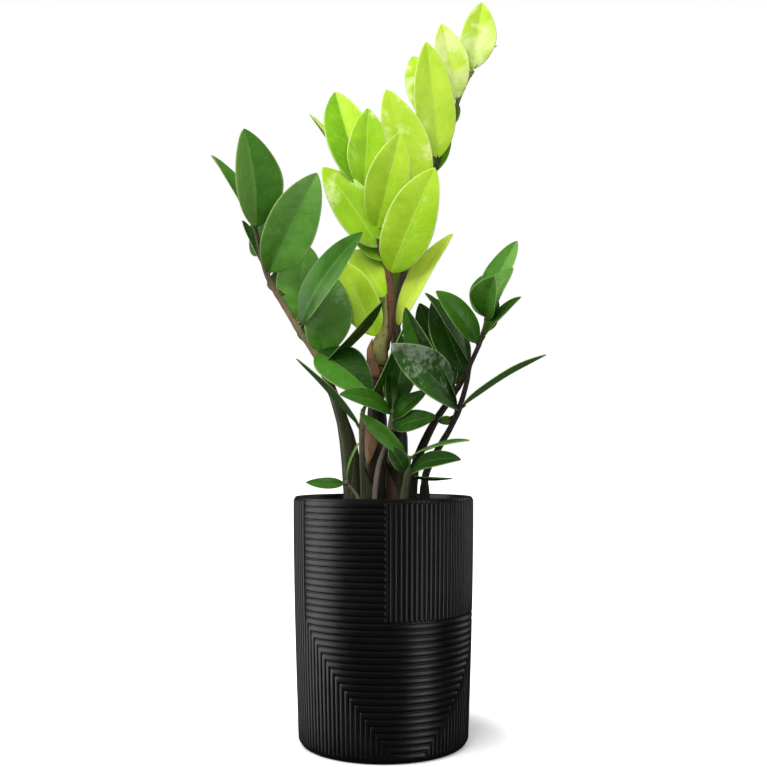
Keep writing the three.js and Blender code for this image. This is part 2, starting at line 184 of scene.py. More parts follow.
# The planter: a tapered black cylinder covered in ribs, in blocks that come twice round it.
planter = {
    "height": 169.5,
    "rimRadius": 63.5,
    "footRadius": 58.7,
    "belly": 1.6,  # over 1 lets the wall swell between foot and rim
    "wall": 5.5,
    "floor": 8.0,
    "footRounding": 4.0,
    "lipRounding": 1.5,
    "wallSteps": 9,  # stretches of the wall from foot to lip
    "turns": 216,  # steps of the spin
    "ribRelief": 0.75,
    "ribWidth": 0.94,  # share of a pitch
    "ribFullness": 0.7,  # under 1 gives a rib a broader back and steeper sides
    "ribsAround": 108,
    "ribBottom": 3.0,
    "ribTop": 168.0,
    "lowerRows": 20,
    "upperRows": 18,
    "patternStart": -58.333,
    "levelColumns": 18,  # widths in pitches: the upper level block, the chevrons, one repeat
    "chevronColumns": 45,
    "repeatColumns": 54,
    "sectionSteps": 8,
    "levelStep": 2.4,  # from stop to stop along a level rib, and along an upright one
    "uprightStep": 14.0,
    "tipStops": (0.12, 0.4, 0.7, 1.0),  # shares of the quarter turn that rounds a rib's tip
    "sink": 0.15,  # how deep a rib's edges reach into the wall
    "darkGlaze": (0.0024, 0.0021, 0.0022),
    "paleGlaze": (0.0042, 0.0037, 0.0038),
    "gloss": (0.3, 0.4),  # roughness, from the smoothest patches to the dullest
    "scales": {"cloud": 38.0, "satin": 90.0, "grain": 1500.0},
    "relief": 0.00004,
}


def buildPlanterMaterial():
    material, tree, shader = newMaterial("satinBlackCeramic", **{"Specular IOR Level": 0.3, "IOR": 1.5})
    place, scales = objectPlace(tree), planter["scales"]
    cloud = noiseNode(tree, place, scales["cloud"], 4.0)
    colour = mixColour(tree, cloud, planter["darkGlaze"], planter["paleGlaze"])
    paint(tree, shader, colour)
    satin = spread(tree, noiseNode(tree, place, scales["satin"]), 0.25, 0.75, *planter["gloss"])
    tree.links.new(satin, shader.inputs["Roughness"])
    bumpNode(tree, shader, noiseNode(tree, place, scales["grain"]), planter["relief"], 0.5)
    return material


# The wall's radius at a height, in the grooves between the ribs.
def wallRadius(height):
    share = 1 - (1 - height / planter["height"]) ** planter["belly"]
    outer = planter["footRadius"] + (planter["rimRadius"] - planter["footRadius"]) * share
    return outer - planter["ribRelief"]


def roundCorner(centreR, centreZ, radius, start, stop, steps=6):
    angles = [math.radians(start + (stop - start) * i / steps) for i in range(steps + 1)]
    return [(centreR + radius * math.cos(a), centreZ + radius * math.sin(a)) for a in angles]


def spinProfile(bm, profile, steps):
    points = [bm.verts.new((radius * mm, 0, height * mm)) for radius, height in profile]
    edges = [bm.edges.new(pair) for pair in zip(points, points[1:])]
    bmesh.ops.spin(
        bm, geom=points + edges, cent=(0, 0, 0), axis=(0, 0, 1), dvec=(0, 0, 0),
        angle=2 * math.pi, steps=steps, use_merge=True,
    )
    bmesh.ops.remove_doubles(bm, verts=bm.verts, dist=1e-6)
    bmesh.ops.recalc_face_normals(bm, faces=bm.faces)


# The point at a column of the pattern and a height, and so far out of the wall.
def onWall(column, height, out):
    angle = math.radians(planter["patternStart"] + column * 360 / planter["ribsAround"])
    radius = wallRadius(height) + out
    return Vector((radius * math.sin(angle), -radius * math.cos(angle), height))


# Stops along a rib's path [(column, height), ...]: (stretch, share of it, swell), with round tips.
def ribStops(path):
    pitch = 2 * math.pi * planter["rimRadius"] / planter["ribsAround"]
    lengths = [math.hypot((b[0] - a[0]) * pitch, b[1] - a[1]) for a, b in zip(path, path[1:])]
    tip = pitch * planter["ribWidth"] / 2
    quarters = [math.pi / 2 * share for share in planter["tipStops"]]
    rise = [(tip * (1 - math.cos(q)), math.sin(q)) for q in quarters]
    last = len(lengths) - 1
    stops = [(0, run / lengths[0], swell) for run, swell in rise]
    for stretch, length in enumerate(lengths):
        low = tip / length if stretch == 0 else 0
        high = 1 - tip / length if stretch == last else 1
        upright = path[stretch][0] == path[stretch + 1][0]
        pace = planter["uprightStep" if upright else "levelStep"]
        steps = max(1, round(length * (high - low) / pace))
        stops += [(stretch, low + (high - low) * i / steps, 1.0) for i in range(1, steps + 1)]
    stops += [(last, 1 - run / lengths[last], swell) for run, swell in reversed(rise[:-1])]
    return stops


# One rounded rib. pathAt(q) gives the path of the line that lies q pitches into its block.
def layRib(bm, pathAt, middle):
    p = planter
    stops = ribStops(pathAt(middle))

    def skin(u, v):
        stretch, share, swell = stops[round(v * (len(stops) - 1))]
        turn = math.pi * u
        path = pathAt(middle - 0.5 * p["ribWidth"] * math.cos(turn) * swell)
        (c0, h0), (c1, h1) = path[stretch], path[stretch + 1]
        out = (p["ribRelief"] + p["sink"]) * math.sin(turn) ** p["ribFullness"] * swell - p["sink"]
        return onWall(c0 + (c1 - c0) * share, h0 + (h1 - h0) * share, out)

    _, faces = layGrid(bm, p["sectionSteps"], len(stops) - 1, skin)
    faceTowards(bm, faces, lambda centre: Vector((centre.x, centre.y, 0)))


# One repeat of the pattern, starting at a column.
def layPattern(bm, shift):
    p = planter
    row = (p["ribTop"] - p["ribBottom"]) / (p["lowerRows"] + p["upperRows"])
    half = p["ribBottom"] + p["lowerRows"] * row

    def level(q):
        return [(shift, half + q * row), (shift + p["levelColumns"], half + q * row)]

    def chevron(q):
        height = half - q * row
        left, right = shift + q, shift + p["chevronColumns"] - q
        return [(left, p["ribBottom"]), (left, height), (right, height), (right, p["ribBottom"])]

    def upright(first, low):
        return lambda q: [(shift + first + q, low), (shift + first + q, p["ribTop"])]

    blocks = [
        (level, p["upperRows"]),
        (chevron, p["lowerRows"]),
        (upright(p["levelColumns"], half), p["chevronColumns"] - p["levelColumns"]),
        (upright(p["chevronColumns"], p["ribBottom"]), p["repeatColumns"] - p["chevronColumns"]),
    ]
    for pathAt, count in blocks:
        for rib in range(count):
            layRib(bm, pathAt, rib + 0.5)


def buildPlanter():
    p = planter
    footWall = wallRadius(p["footRounding"])
    lip = p["height"] - p["lipRounding"]
    lipWall = wallRadius(lip)
    innerLip = lipWall - p["wall"]
    heights = [lip * i / p["wallSteps"] for i in range(1, p["wallSteps"])]
    profile = [(0, 0)]
    profile += roundCorner(footWall - p["footRounding"], p["footRounding"], p["footRounding"], -90, 0, 8)
    profile += [(wallRadius(height), height) for height in heights]
    profile += roundCorner(lipWall - p["lipRounding"], lip, p["lipRounding"], 0, 90)
    profile += roundCorner(innerLip + p["lipRounding"], lip, p["lipRounding"], 90, 180)
    profile += [(wallRadius(height) - p["wall"], height) for height in reversed(heights)]
    profile += [(wallRadius(p["floor"]) - p["wall"], p["floor"]), (0, p["floor"])]
    bm = bmesh.new()
    spinProfile(bm, profile, p["turns"])
    for repeat in range(p["ribsAround"] // p["repeatColumns"]):
        layPattern(bm, repeat * p["repeatColumns"])
    dress(finishMesh(bm, "ribbed_planter", [buildPlanterMaterial()]), "planter_black", "planter")
    print("planter done")


# The soil: a lumpy bed with bits of bark, perlite and crumbs of peat on it.
soil = {
    "top": 157.0,
    "crown": 3.0,  # how much higher the middle stands than the edge
    "swell": 1.3,  # height of the broad lumps, and of the small ones
    "grain": 1.1,
    "wallGap": 0.45,
    "floorGap": 0.3,
    "rings": 30,
    "turns": 96,
    "bits": {  # how many, half length, half width and half height, seed
        "bark_chips": (170, (2.6, 1.5, 0.8), 11),
        "perlite_grains": (80, (1.2, 1.1, 0.9), 12),
        "peat_crumbs": (620, (1.0, 0.9, 0.7), 13),
    },
    "bareEdge": 3.0,  # no bit's middle lies nearer the wall
    "tilt": 0.4,  # most rise of a bit along its length
    "sizes": (0.6, 1.3),
    "dents": (0.75, 1.2),
    "raised": 0.35,  # share of its half height that a bit's middle stands above the bed
    "wetPeat": (0.012, 0.008, 0.005),
    "dampPeat": (0.045, 0.028, 0.017),
    "dryPeat": (0.085, 0.055, 0.034),
    "bark": [(0.3, (0.03, 0.015, 0.008)), (0.5, (0.1, 0.05, 0.025)), (0.75, (0.22, 0.13, 0.07))],
    "perlite": ((0.5, 0.48, 0.43), (0.8, 0.79, 0.75)),
    "scales": {"damp": 90.0, "fine": 420.0, "bark": 130.0, "barkGrain": 700.0, "perlite": 500.0},
    "peatRelief": 0.0012,
    "barkRelief": 0.0006,
}


def buildSoilMaterial():
    material, tree, shader = newMaterial("moistPeat", **{"Roughness": 0.92, "Specular IOR Level": 0.25})
    place, scales = objectPlace(tree), soil["scales"]
    fine = noiseNode(tree, place, scales["fine"], 6.0, 0.7)
    damp = noiseNode(tree, place, scales["damp"], 4.0)
    dark = mixColour(tree, damp, soil["wetPeat"], soil["dampPeat"])
    colour = mixColour(tree, spread(tree, fine, 0.45, 0.75), dark, soil["dryPeat"])
    paint(tree, shader, colour)
    bumpNode(tree, shader, fine, soil["peatRelief"], 0.8)
    return material


def buildBarkMaterial():
    material, tree, shader = newMaterial("pineBark", **{"Roughness": 0.8, "Specular IOR Level": 0.3})
    place, scales = objectPlace(tree), soil["scales"]
    paint(tree, shader, rampNode(tree, noiseNode(tree, place, scales["bark"]), soil["bark"]))
    bumpNode(tree, shader, noiseNode(tree, place, scales["barkGrain"], 4.0), soil["barkRelief"], 0.7)
    return material


def buildPerliteMaterial():
    material, tree, shader = newMaterial("perlite", **{"Roughness": 0.85})
    tone = noiseNode(tree, objectPlace(tree), soil["scales"]["perlite"])
    paint(tree, shader, mixColour(tree, tone, *soil["perlite"]))
    return material


# The bed's height: a low crown, crossed waves, and small lumps that die out at the wall.
def soilHeight(x, y):
    edge = wallRadius(soil["top"]) - planter["wall"]
    wave = math.sin(0.31 * x + 1.3) * math.cos(0.27 * y - 0.6) + 0.6 * math.sin(0.19 * x - 0.41 * y)
    inward = 1 - min(1.0, math.hypot(x, y) / edge)
    lumps = noise.fractal(Vector((x, y, 0)) * 0.16, 1.0, 2.0, 4) * min(1.0, inward * 8)
    return soil["top"] + soil["crown"] * inward + soil["swell"] * wave + soil["grain"] * lumps


# Low-faced lumps strewn over the soil, each squashed, turned and dented its own way.
def scatterBits(name, material):
    count, radii, seed = soil["bits"][name]
    rng = random.Random(seed)
    bm = bmesh.new()
    reach = wallRadius(soil["top"]) - planter["wall"] - soil["bareEdge"]
    for _ in range(count):
        lump = bmesh.ops.create_icosphere(bm, subdivisions=1, radius=1.0)["verts"]
        away, turn = reach * math.sqrt(rng.random()), rng.uniform(0, 2 * math.pi)
        x, y = away * math.cos(turn), away * math.sin(turn)
        heading = rng.uniform(0, 2 * math.pi)
        tilt = rng.uniform(-soil["tilt"], soil["tilt"])
        size = rng.uniform(*soil["sizes"])
        middle = soilHeight(x, y) + radii[2] * soil["raised"]
        for vert in lump:
            dent = rng.uniform(*soil["dents"]) * size
            a, b, c = (vert.co[i] * radii[i] * dent for i in range(3))
            px = x + a * math.cos(heading) - b * math.sin(heading)
            py = y + a * math.sin(heading) + b * math.cos(heading)
            vert.co = Vector((px, py, middle + c + a * tilt)) * mm
    dress(finishMesh(bm, name, [material], smooth=False), "potting_soil")


def buildSoil():
    low = planter["floor"] + soil["floorGap"]
    inset = planter["wall"] + soil["wallGap"]
    edge = wallRadius(soil["top"]) - inset
    bm = bmesh.new()
    profile = [(0, low), (wallRadius(low) - inset, low)]
    profile += [(edge * ring / soil["rings"], soil["top"]) for ring in range(soil["rings"], -1, -1)]
    spinProfile(bm, profile, soil["turns"])
    for vert in bm.verts:
        if vert.co.z > (soil["top"] - 0.1) * mm:
            vert.co.z = soilHeight(vert.co.x / mm, vert.co.y / mm) * mm
    peat = buildSoilMaterial()
    dress(finishMesh(bm, "potting_soil", [peat]), "potting_soil", "soil")
    scatterBits("bark_chips", buildBarkMaterial())
    scatterBits("perlite_grains", buildPerliteMaterial())
    scatterBits("peat_crumbs", peat)
    print("soil done")


# Each frond: its palette, the stem's points (x, y, z, radius), the stem's colours by height, and
# its leaflets (height of the foot, tip x, tip y, tip z, width, turn, arch, fold, twist, tone, side,
# bloom). arch is a share of the length and fold one of the half width. tone runs from 0, the
# darkest of the palette, to 1, the palest, or a little past it; it is partly the leaflet's own colour
# and partly painted light and shade, set paler or darker for how much light falls on the leaflet.
# side, where there is any, is painted light and shade: how much paler the half on the left is
# drawn, as if lit more on that half. bloom, where there is any, says how far pale waxy patches
# cover a lime blade, and how many painted glints, which are painted highlights, a blade gets.
fronds = {
    "frond_left": {
        "palette": "dark",
        "stem": [
            (-21, 4, 118, 7), (-22, 3, 169, 6.8), (-25, 0, 205, 6.2), (-29, -2, 222, 4.6),
            (-35, -4, 240, 3.6), (-49, -7, 272, 2.8), (-58, -8, 284, 2.4), (-71, -10, 305, 2.1),
            (-81, -11, 322, 1.8), (-87, -12, 340, 1.6), (-91, -12, 359, 1.3),
        ],
        "bark": [
            (150, "blackGreen"), (225, "darkOlive"), (255, "oliveBrown"), (300, "oliveBrown"),
            (335, "brown"), (360, "darkOlive"),
        ],
        "leaflets": [
            (355, -126, 4, 417, 22, 60, 0.03, 0.5, 0, 0.5),
            (357, -98, -26, 427, 39, 37, 0.04, 0.4, 0, 0.8, 0.8),
            (325, -46, -34, 393, 36, 12, 0.05, 0.3, 0, 0.72),
            (329, -104, 14, 371, 13, 55, 0, 0.5, 0, 0.1),
            (290, -58, 16, 354, 35, 0, 0.03, 0.15, 0, 0.7),
            (287, -14, -44, 349, 27, -32, 0.08, 0.25, -12, 0.36),
            (265, -34.5, -8, 325, 33, 10, 0.04, 0.25, 0, 0.7, 0, 0.3),
            (261, -1, -48, 301, 20, 78, 0.03, 0.15, 0, 0.2),
            (272, -8, -32, 240, 32, -20, 0.08, 0.2, 0, 0.28, -0.5),
            (340, -98, 42, 386, 26, 160, 0.04, 0.2, 0, 0.4),
            (312, -62, 46, 352, 28, 175, 0.04, 0.2, 0, 0.4),
            (276, -44, 44, 316, 30, 180, 0.04, 0.2, 0, 0.4),
        ],
    },
    "frond_centre": {
        "palette": "lime",
        "stem": [
            (-7, -3, 118, 6.6), (-7, -3, 169, 6.6), (-6, -3, 209, 6.2), (-5, -2, 238, 5.6),
            (-3, -1, 259, 6.8), (-2.5, -1, 274, 6.4), (2, 0, 286, 4.8), (4.3, -1, 300, 3.3),
            (5, -2, 316, 2.5), (3, -4, 330, 2.2), (-2, -6, 345, 1.9), (-8, -10, 363, 1.6),
            (-12, -13, 377, 1.4), (-15, -14, 386, 1.2),
        ],
        "bark": [
            (150, "blackBrown"), (205, "blackBrown"), (240, "darkOlive"), (275, "redBrown"),
            (318, "redBrown"), (386, "brown"),
        ],
        "leaflets": [
            (384, -55, 12, 451, 14, 65, 0, 0.6, 0, 0.6),
            (385, -35, -8, 460, 34, 0, 0.05, 0.3, 40, 0.4, -0.6, -0.1),
            (385, -29, 30, 452, 26, -10, 0.03, 0.15, 0, 0.4),
            (371, -30, 30, 428, 24, 150, 0.03, 0.15, 0, 0.35),
            (384, -11, -22, 443, 28, 0, 0.05, 0.2, 0, 0.4),
            (357, 11, -34, 421, 31, 6, 0.05, 0.2, 0, 0.6, 0, -0.1),
            (326, 35, -46, 393, 37.5, -10, 0.05, 0.15, 0, 0.6, 0.1, -0.1),
            (344, -43, -20, 401, 31, 10, 0.04, 0.2, 0, 0.45, 0, 0.08),
            (334, -23, 10, 394, 30, 0, 0, 0.15, 0, 0.35),
            (309, -22, 16, 349, 30, -8, 0.03, 0.15, 0, 0.65, 0, -0.2),
            (277, -29, -6, 336, 28, -14, 0.03, 0.2, 0, 0.65, 0, -0.2),
            (350, -32, 42, 408, 28, 175, 0.04, 0.2, 0, 0.4),
        ],
    },
    "frond_tall": {
        "palette": "lime",
        "stem": [
            (9, 11, 118, 6.6), (8, 11, 169, 6.6), (10, 12, 209, 5.8), (10, 13, 238, 4.6),
            (9, 14, 280, 3.5), (10.6, 15, 312, 2.9), (14, 15, 329, 2.6), (18, 16, 342, 2.3),
            (25, 18, 370, 2.1), (40, 21, 415, 1.7), (49, 23, 441, 1.5), (56, 25, 464, 1.3),
            (67, 27, 489, 1.1),
        ],
        "bark": [
            (150, "blackBrown"), (265, "blackBrown"), (295, "greyBrown"), (325, "greyBrown"),
            (345, "darkOlive"), (420, "darkOlive"), (465, "olive"), (490, "limeStem"),
        ],
        "leaflets": [
            (488, 74, 16, 538, 27, 0, 0.04, 0.2, 0, 0.75),
            (486, 87, 34, 512, 11, -60, 0.1, 0.2, 0, 0.75),
            (464, 43, 8, 518, 27, 6, 0.04, 0.2, 0, 0.9),
            (417, 31, -4, 499, 31, 6, 0.03, 0.2, 0, 0.8, 0, -0.15),
            (440, 22, 30, 502, 33, 0, 0.03, 0.2, 0, 0.55),
            (384, 2, 0, 465, 34, 0, 0.03, 0.2, 0, 0.75, 0, -0.05),
            (443, 57, 40, 469, 9, 0, 0.03, 0.2, 0, 0.0),
            (407, 51, 42, 446, 12, 0, 0.03, 0.2, 0, 0.05),
            (378, 2, 62, 428, 30, 180, 0.04, 0.2, 0, 0.7),
            (368, 30, 50, 420, 28, 178, 0.04, 0.2, 0, 0.6),
            (300, -8, 52, 345, 30, 180, 0.04, 0.2, 0, 0.4),
            (289, 49, -18, 354, 19, -35, 0.08, 0.2, 0, 1.2, 0, -0.3),
            (318, 20, 48, 366, 28, 180, 0.04, 0.2, 0, 0.5),
        ],
    },
    "frond_right_back": {
        "palette": "dark",
        "stem": [
            (20, 8, 118, 4), (19.5, 8, 166, 3.7), (21, 8, 182, 3.5), (24.6, 9, 196, 3.3),
            (31, 10, 211, 3), (38, 11, 224, 2.7), (47, 12, 237, 2.3), (57, 13, 252, 1.9),
            (64, 14, 266, 1.4),
        ],
        "bark": [(150, "blackGreen"), (215, "blackBrown"), (265, "blackBrown")],
        "leaflets": [
            (264, 29, -16, 312, 24, 62, 0.04, 0.2, 0, 0.25),
            (256, 37, 20, 314, 28, 10, 0.03, 0.2, 0, 0.05),
            (242, 27, 30, 312, 26, 0, 0.03, 0.2, 0, 0.08),
            (248, 46, 52, 300, 28, 175, 0.04, 0.2, 0, 0.3),
        ],
    },
    "frond_right": {
        "palette": "dark",
        "stem": [
            (29, -2, 118, 3), (29, -2, 170, 2.8), (30, -3, 185, 2.6), (40, -4, 205, 2.3),
            (47, -5, 217, 2.1), (53, -6, 230, 2), (59, -7, 250, 1.8), (61, -7, 261, 1.7),
            (64, -8, 268, 1.7), (68, -8, 277, 1.5), (71, -9, 287, 1.3), (74, -9, 299, 1.1),
        ],
        "bark": [
            (150, "blackBrown"), (200, "blackBrown"), (270, "blackBrown"), (285, "brown"),
            (300, "redBrown"),
        ],
        "leaflets": [
            (297, 97, 4, 353.5, 23, -42, 0.06, 0.25, 0, 0.72, -0.4, 0.12),
            (294, 91, -20, 329, 23, -55, 0.03, 0.45, 0, 0.78, 0, 0.15),
            (294, 76, -38, 320, 24, -45, 0.04, 0.46, 0, 0.52),
            (294, 72, 10, 329, 21, -20, 0.02, 0.2, 0, 0.5),
            (276, 36, -30, 311, 22, 30, 0.08, 0.2, 0, 0.45),
            (279, 94, -36, 306, 13, -60, 0.06, 0.2, 0, 0.18),
            (284, 83, 8, 312, 14, 40, 0.02, 0.2, 0, 0.15),
            (230, 15, -36, 299, 26, -48, 0.06, 0.2, 0, 0.2, 0.3),
            (229, 5, -60, 271, 34, 31, 0.08, 0.3, 65, 0.12, 0.0, 0.62),
            (231, 115, -10, 269, 17, -105, 0.03, 0.2, 0, 1.0),
            (226, 39, 0, 222, 9, -40, 0.04, 0.2, 0, 0.8),
        ],
    },
    "shoot_front": {
        "palette": "dark",
        "stem": [
            (-14, -21, 118, 2.2), (-14, -21, 169, 2.1), (-15, -20, 204, 2), (-15, -20, 220, 1.9),
            (-14, -19, 231, 1.4),
        ],
        "bark": [(150, "darkOlive"), (200, "darkOlive"), (220, "oliveBrown"), (230, "olive")],
        "leaflets": [
            (216, -58, -52, 262, 15, 108, 0.01, 0.25, 0, 0.35),
            (229, 13, -42, 283, 14, 70, 0.03, 0.2, 0, 0.4),
        ],
    },
    "shoot_middle": {
        "palette": "dark",
        "stem": [
            (-6, -24, 118, 2), (-6, -24, 170, 1.9), (-3, -23, 192, 1.8), (2, -21, 206, 1.7),
            (6, -19, 228, 1.3),
        ],
        "bark": [(150, "purpleGrey"), (205, "purpleGrey"), (228, "olive")],
        "leaflets": [
            (216, 36, -28, 225, 16, -30, 0.06, 0.2, 0, 0.15),
            (227, -29, -56, 238, 17, 40, 0.09, 0.2, 0, 0.4),
            (221, 30, -20, 243, 15, -40, 0.06, 0.2, 0, 0.12),
            (227, 4, -24, 258, 13, 40, 0.02, 0.2, 0, 0.15),
            (227, 19, -2, 286, 23, 0, 0.02, 0.2, 0, 0.05),
        ],
    },
    "shoot_right": {
        "palette": "dark",
        "stem": [
            (13, -28, 118, 3.4), (14, -27, 169, 3.2), (16, -27, 183, 2.6), (17, -26, 198, 1.6),
        ],
        "bark": [(150, "darkOlive"), (185, "darkOlive"), (198, "olive")],
        "leaflets": [
            (196, -16, -42, 226, 11, 10, 0.04, 0.2, 0, 0.5),
            (196, 58, -38, 208, 14, -82, 0.05, 0.2, 0, 0.4),
            (184, 4, -33, 204, 13, 20, 0.06, 0.2, 0, 0.05),
            (183, 51, -52, 195, 19, -58, 0.14, 0.15, 0, 0.0),
            (184, 48, -12, 182, 12, 80, 0, 0.2, 0, 0.3),
        ],
    },
    "shoot_left": {
        "palette": "dark",
        "stem": [
            (-15, -26, 118, 1.6), (-16, -26, 160, 1.5), (-18, -26, 170, 1.4), (-26, -28, 180, 1),
        ],
        "bark": [(150, "purpleGrey"), (180, "purpleGrey")],
        "leaflets": [
            (179, -52, -42, 180, 8, 10, 0.05, 0.2, 0, 0.45),
            (179, -16, -38, 207, 9, -80, 0.05, 0.2, 0, 0.65),
        ],
    },
}

stemShape = {
    "stepsPerPoint": 14,
    "sides": 18,
    "glance": 0.002,  # share of the stem to either side over which its direction is taken
    "jointSwell": 0.12,  # how much thicker it is where a leaflet grows, and how far along it
    "jointReach": 2.2,
    "jointMost": 1.2,  # so many leaflets at one place swell it no further
    "lump": 0.05,
    "lumpScale": 0.09,
    "tipShares": (0.35, 0.8),  # of the radius, at the last stop and the one before
    "drift": 0.018,  # how far noise shifts the colours up or down, in metres
    "scales": {"drift": 70.0, "mottle": 420.0, "flecks": 900.0},
    "stretch": 0.3,  # under 1 draws the mottling out along the height
    "mottle": (0.012, 0.011, 0.006),
    "fleck": (0.2, 0.19, 0.11),
    "relief": 0.00025,
}

stalkShape = {
    "length": 1.5,  # bare stalk between the stem's skin and the blade
    "overlap": 2.0,  # how far it runs on under the blade
    "radius": 1.15,
    "footShare": 1.3,  # share of the radius at the stem, before the flare
    "taper": 0.5,
    "flare": 0.25,
    "steps": 6,
    "sides": 10,
}

leafShape = {
    "thickness": 0.75,
    "rise": 0.62,  # powers of the outline at the foot and at the tip
    "fall": 0.76,
    "tipHalf": 0.2,  # least half width towards the tip
    "outlineWave": (0.035, 7, 2.5),  # share of the half width, radians to the tip, shift of a half
    "ripple": (0.4, 9.5, 1.3),  # mm at the margin, radians to the tip, shift of a half
    "rippleFade": 6,  # the larger, the nearer to the tip it dies out
    "groove": 0.3,  # how deep the midrib lies, and its width as a share of the half width
    "grooveWidth": 0.12,
    "grooveFade": 8,
    "foldPower": 1.15,  # over 1 rounds the middle of a folded blade
    "dome": 0.04,
    "curl": 5,  # most turn of the tip by chance
    "bow": 0.012,  # most bend to a side by chance, as a share of the length
    "fuller": 0.05,  # most that a half may be wider by chance
    "fullWidth": 24,  # under this width the ripple and the groove shrink with the blade
    "evenStops": 0.35,  # 1 would space the stops evenly
    "alongSteps": 20,
    "acrossSteps": 10,
    "seed": 5,
    "attributes": ("leafTone", "leafHalfLight", "leafBloomAndSheen"),
}

leafMarks = {
    "scales": {
        "wander": 45.0, "broad": 30.0, "blotch": 95.0, "wax": 62.0, "paintedGlint": 210.0, "swell": 150.0,
        "satin": 70.0,
    },
    "specular": 0.2,
    "glowColour": (0.6, 1.0, 0.2),  # of the light that gets into a blade, and how far, in metres
    "glowDepth": 0.0012,
    "blotch": 0.5,  # how far the patches of a blade stray in tone
    "veins": (11.0, -2.6, 1.6),  # how many on a half, their slant and how far they wander
    "veinWidth": 0.14,  # half the width, as a share of the way from vein to vein
    "veinStrength": 0.08,
    "midribStrength": 0.35,
    "marginFrom": 0.93,
    "relief": 0.00024,
    "upperGloss": (0.24, 0.5),  # roughness, from the smoothest patches to the dullest
    "underGloss": (0.5, 0.65),
}

sheathShape = {
    "thickness": 0.35,
    "taper": 1.4,  # over 1 keeps the sheath broad for longer below its point
    "pointShare": 0.04,
    "flare": 0.6,  # how much wider the gap to the stem is at the point
    "crease": 0.25,
    "acrossSteps": 8,
    "alongSteps": 12,
}

# Colours of each palette from the darkest upper face to the palest, underside, margin, veins and
# pale patches: bleached patches on lime blades, painted sheen on dark ones, and on both the painted
# highlights of the glints. patchFrom and glintFrom set where patches and painted glints begin: the
# lower, the more there are. bloomed is how far a leaflet's bloom counts in its patches.
leafPalettes = {
    "dark": {
        "deep": (0.01, 0.042, 0.003),
        "middle": (0.047, 0.168, 0.011),
        "pale": (0.155, 0.35, 0.065),
        "under": (0.07, 0.185, 0.026),
        "margin": (0.28, 0.4, 0.13),
        "vein": (0.13, 0.26, 0.06),
        "bleachAndSheen": (0.34, 0.45, 0.31),
        "patchFrom": 1.05,
        "bloomed": 0.0,
        "glintFrom": 0.88,
        "coat": 0.05,
        "through": 0.03,
    },
    "lime": {
        "deep": (0.12, 0.33, 0.006),
        "middle": (0.34, 0.6, 0.018),
        "pale": (0.62, 0.82, 0.07),
        "under": (0.42, 0.62, 0.06),
        "margin": (0.72, 0.86, 0.3),
        "vein": (0.6, 0.8, 0.12),
        "bleachAndSheen": (0.84, 0.93, 0.42),
        "patchFrom": 0.8,
        "bloomed": 1.0,
        "glintFrom": 1.0,
        "coat": 0.03,
        "through": 0.12,
    },
}

barkColours = {
    "blackGreen": (0.02, 0.024, 0.009),
    "darkOlive": (0.038, 0.042, 0.017),
    "olive": (0.12, 0.165, 0.03),
    "limeStem": (0.3, 0.45, 0.05),
    "oliveBrown": (0.19, 0.145, 0.072),
    "brown": (0.08, 0.048, 0.026),
    "redBrown": (0.15, 0.06, 0.038),
    "blackBrown": (0.017, 0.012, 0.007),
    "purpleGrey": (0.13, 0.1, 0.085),
    "greyBrown": (0.115, 0.085, 0.052),
    "paperBrown": (0.24, 0.125, 0.055),
    "wedge": (0.2, 0.195, 0.06),
}

# Dry sheaths that hug a stem: frond, height at the base and at the point, heading in degrees from
# the front and positive towards +X, spread to either side at the base, gap to the stem, colour.
sheaths = [
    ("frond_centre", 262, 313, -46, 92, 1.3, "wedge"),
    ("frond_centre", 253, 281, -66, 74, 2.0, "paperBrown"),
    ("frond_centre", 220, 191, -25, 60, 2.3, "paperBrown"),
    ("frond_centre", 160, 236, 40, 175, 1.6, "blackBrown"),
    ("frond_centre", 160, 206, -120, 150, 2.1, "darkOlive"),
    ("frond_tall", 160, 228, 20, 178, 1.3, "blackGreen"),
    ("frond_tall", 160, 204, -110, 150, 1.9, "brown"),
    ("frond_left", 160, 214, 60, 80, 0.3, "darkOlive"),
    ("frond_right_back", 160, 200, -20, 175, 0.4, "blackGreen"),
    ("frond_right", 160, 186, 0, 150, 0.4, "blackBrown"),
]


# A smooth curve through the stem's points: place 0 is the first of them and 1 the last.
def stemPoint(points, place):
    centres = [Vector(point[:3]) for point in points]
    count = len(points) - 1
    at = min(int(place * count), count - 1)
    share = place * count - at
    b, c = centres[at], centres[at + 1]
    a = centres[at - 1] if at else b * 2 - c
    d = centres[at + 2] if at + 2 <= count else c * 2 - b
    before, here, after = (math.sqrt((q - p).length) for p, q in ((a, b), (b, c), (c, d)))
    enter = ((b - a) / before - (c - a) / (before + here) + (c - b) / here) * here
    leave = ((c - b) / here - (d - b) / (here + after) + (d - c) / after) * here
    bend = 3 * (c - b) - 2 * enter - leave
    swing = 2 * (b - c) + enter + leave
    centre = b + enter * share + bend * share ** 2 + swing * share ** 3
    radius = points[at][3] + (points[at + 1][3] - points[at][3]) * share
    return centre, radius


# The stem's middle and radius at a height, found by halving.
def stemAtHeight(points, height):
    low, high = 0.0, 1.0
    for _ in range(30):
        middle = (low + high) / 2
        if stemPoint(points, middle)[0].z < height:
            low = middle
        else:
            high = middle
    return stemPoint(points, low)


def growStem(bm, points, feet):
    s = stemShape
    count = s["stepsPerPoint"] * (len(points) - 1)
    stops = []
    for i in range(count + 1):
        place = i / count
        centre, radius = stemPoint(points, place)
        ahead = stemPoint(points, min(1.0, place + s["glance"]))[0]
        behind = stemPoint(points, max(0.0, place - s["glance"]))[0]
        joint = sum(math.exp(-((centre.z - foot) / s["jointReach"]) ** 2) for foot in feet)
        uneven = noise.noise(centre * s["lumpScale"]) * s["lump"]
        tip = s["tipShares"][count - i] if count - i < len(s["tipShares"]) else 1.0
        swell = radius * tip * (1 + s["jointSwell"] * min(joint, s["jointMost"]) + uneven)
        stops.append((centre, (ahead - behind).normalized(), swell))
    layTube(bm, stops, s["sides"])


